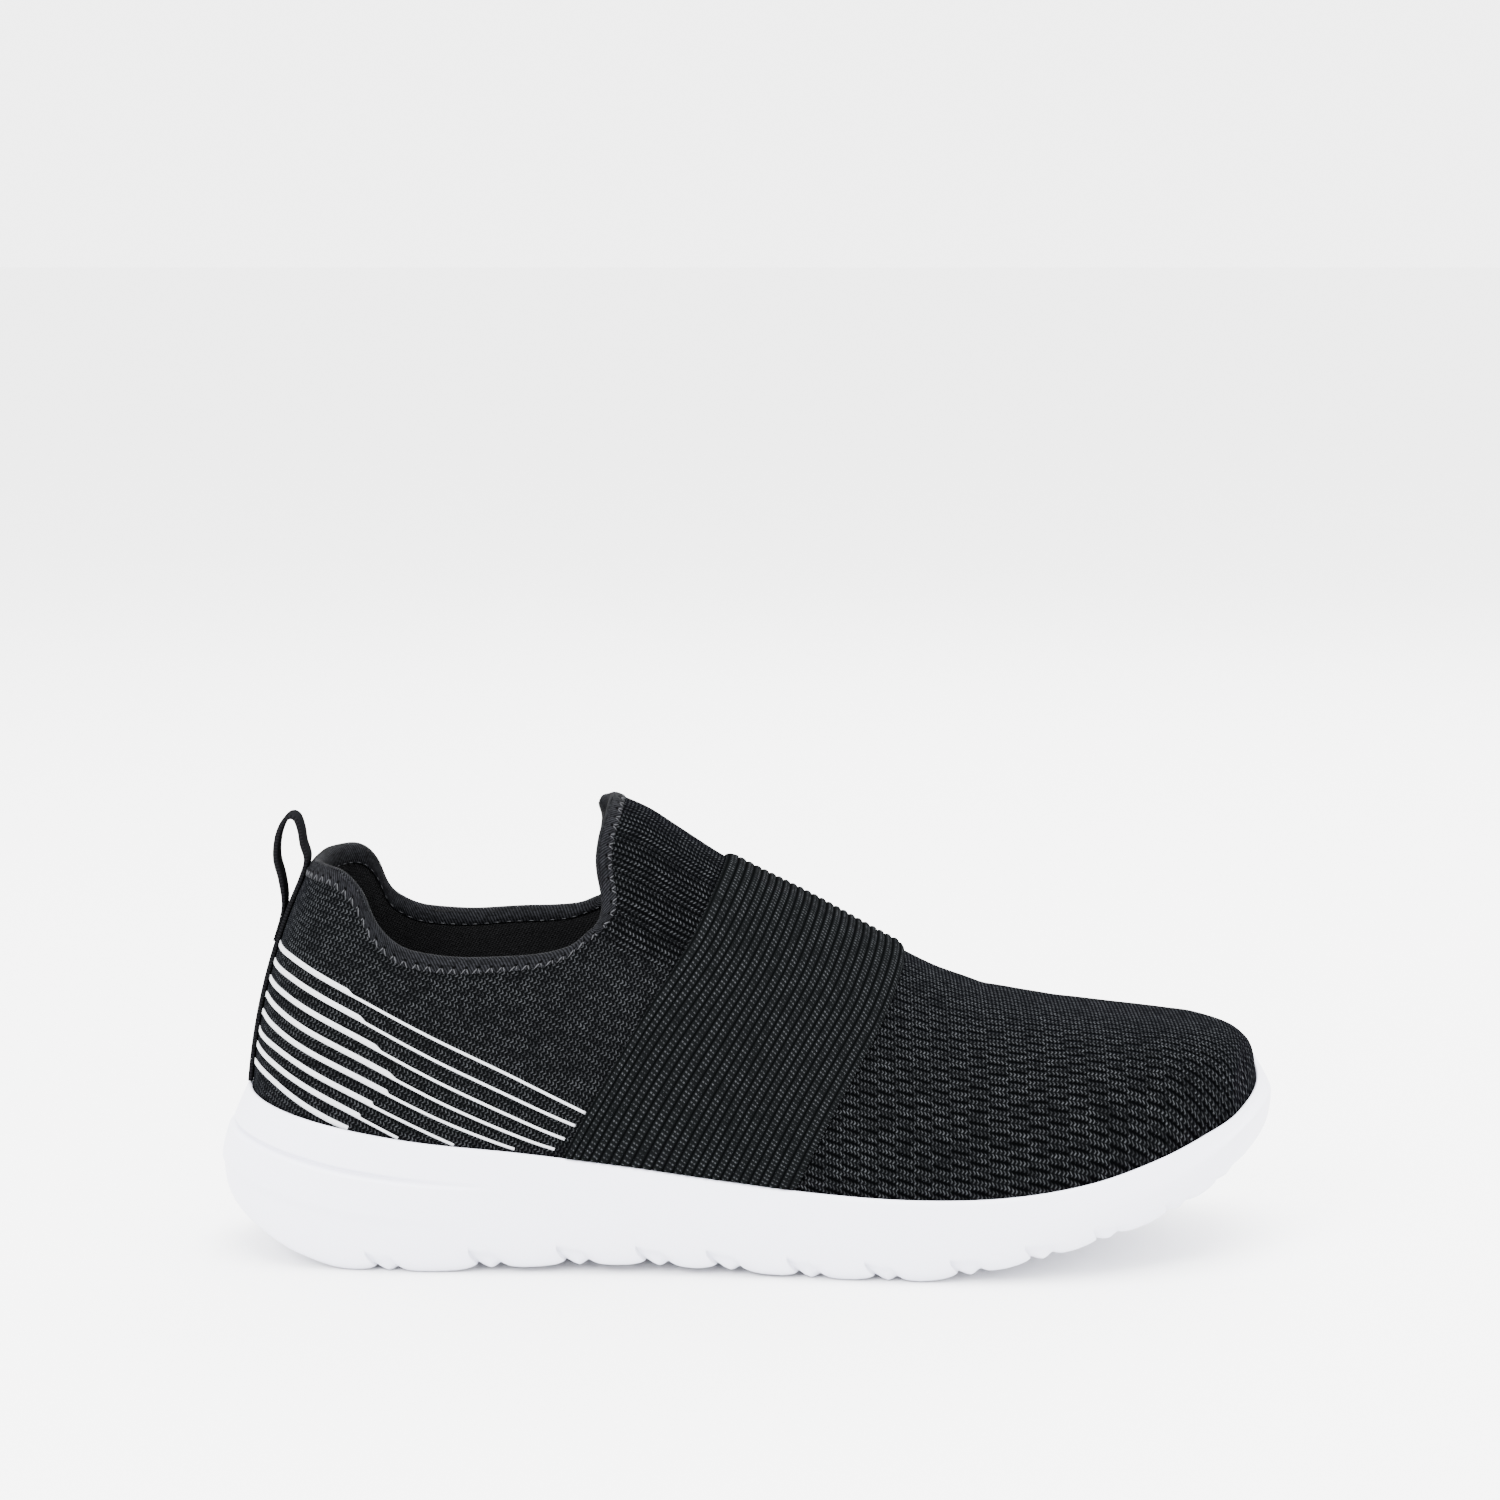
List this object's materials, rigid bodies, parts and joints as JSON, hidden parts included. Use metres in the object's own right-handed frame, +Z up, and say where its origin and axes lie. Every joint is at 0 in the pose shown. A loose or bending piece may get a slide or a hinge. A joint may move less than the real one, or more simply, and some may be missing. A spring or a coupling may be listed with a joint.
{
  "type": "slip-on sneaker",
  "caption": "Low slip-on knit sneaker for the right foot, with a ribbed elastic instep strap, padded collar, heel loop and one-piece rocker sole with side lugs.",
  "frame": {"origin": "centre of the bounding box, on the floor under the sole", "axes": "+X toward the toe along the length, +Y toward the big toe's side, +Z up from the floor"},
  "size_m": [0.298, 0.1088, 0.1282],
  "materials": {
    "foam_white": "smooth moulded foam, satin",
    "knit_charcoal": "knitted, matt",
    "twill_charcoal": "fine twill, matt",
    "elastic_charcoal": "ribbed elastic",
    "webbing_black": "woven webbing",
    "lining_black": "plain cloth, matt"
  },
  "bodies": {
    "root": {"sole": "foam_white", "upper": "knit_charcoal", "collar_binding": "twill_charcoal", "instep_strap": "elastic_charcoal", "heel_loop": "webbing_black", "insole": "lining_black"}
  },
  "joints": []
}
